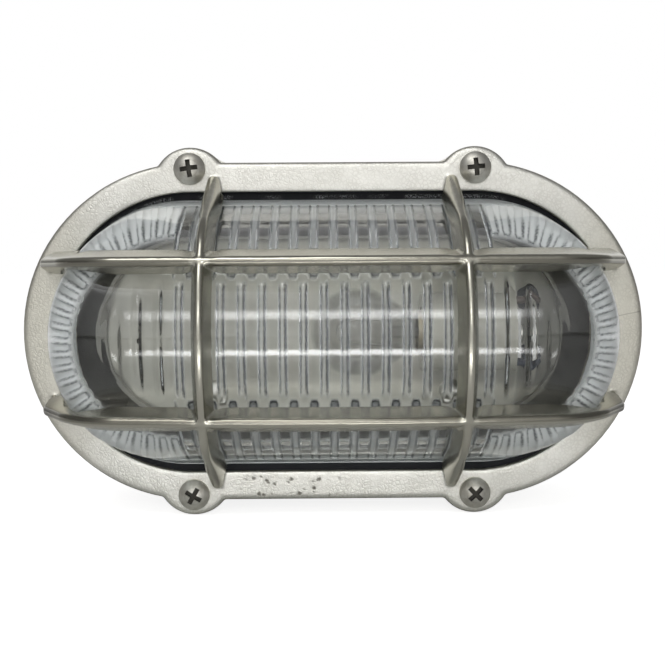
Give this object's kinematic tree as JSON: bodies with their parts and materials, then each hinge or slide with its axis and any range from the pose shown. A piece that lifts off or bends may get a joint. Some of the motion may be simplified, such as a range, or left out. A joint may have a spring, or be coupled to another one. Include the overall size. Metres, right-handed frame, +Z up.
{
  "type": "bulkhead light",
  "caption": "Oval cast bulkhead light with a fluted glass dome behind a screwed-on guard of crossed bars, fixed by its flat back.",
  "frame": {"origin": "middle of the base's flat back, where it meets the wall", "axes": "+X to the right along the oval's length, +Z up, +Y into the wall, so the light faces -Y"},
  "size_m": [0.2, 0.094, 0.1188],
  "materials": {
    "plated_casting": "satin nickel plate on a fine sand-cast skin",
    "plated_screws": "bright nickel plate",
    "clear_glass": "clear pressed glass",
    "black_rubber": "matt black",
    "enamelled_sheet": "cream stove enamel",
    "zinc_steel": "zinc plate",
    "porcelain": "glazed porcelain",
    "contact_brass": "plain brass",
    "black_insulator": "black glass insulator",
    "filament_wire": "drawn wire",
    "white_plastic": "moulded white",
    "brown_insulation": "brown wire insulation",
    "blue_insulation": "blue wire insulation",
    "green_insulation": "green and yellow wire insulation"
  },
  "bodies": {
    "root": {"base": "plated_casting", "guard": "plated_casting", "glass": "clear_glass", "front_gasket": "black_rubber", "rear_gasket": "black_rubber", "guard_screws": "plated_screws", "reflector_tray": "enamelled_sheet", "tray_screws": "plated_screws", "lampholder_bracket": "zinc_steel", "bracket_rivets": "plated_screws", "holder_screws": "plated_screws", "lampholder_body": "porcelain", "lampholder_shell": "contact_brass", "lampholder_contact": "contact_brass", "lamp_cap": "contact_brass", "lamp_insulator": "black_insulator", "lamp_contact": "zinc_steel", "lamp_envelope": "clear_glass", "lamp_stem": "clear_glass", "lamp_filament": "filament_wire", "terminal_block": "white_plastic", "terminal_inserts": "contact_brass", "terminal_screws": "zinc_steel", "block_screws": "zinc_steel", "earth_lug": "contact_brass", "earth_screw": "contact_brass", "cable_grommet": "black_rubber", "tray_grommets": "black_rubber", "live_wire": "brown_insulation", "neutral_wire": "blue_insulation", "earth_wire": "green_insulation"}
  },
  "joints": []
}
